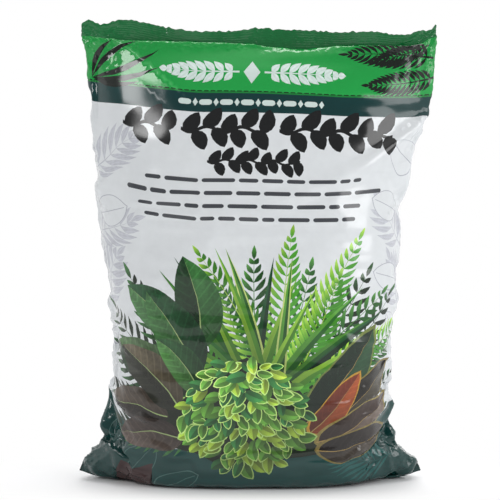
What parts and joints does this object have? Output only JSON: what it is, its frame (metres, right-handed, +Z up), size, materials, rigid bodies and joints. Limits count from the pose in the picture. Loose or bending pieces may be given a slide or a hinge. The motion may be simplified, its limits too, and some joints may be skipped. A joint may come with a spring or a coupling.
{
  "type": "compost bag",
  "caption": "Filled and sealed film bag of potting compost that stands on its flattened bottom end, with a crimped seal fin along the top and pinched corners.",
  "frame": {"origin": "middle of the bounding box's footprint, on the surface that the bag stands on", "axes": "+Z up along the height of the bag, -Y out of the printed front, +X to the right seen from the front, along the top seal"},
  "size_m": [0.2632, 0.1116, 0.3416],
  "materials": {
    "printed_film": "glossy printed polyethylene film: bright green top band, dark teal band, pale grey field with a leafy picture, dark teal foot"
  },
  "bodies": {
    "root": {"filled_bag": "printed_film"}
  },
  "joints": []
}
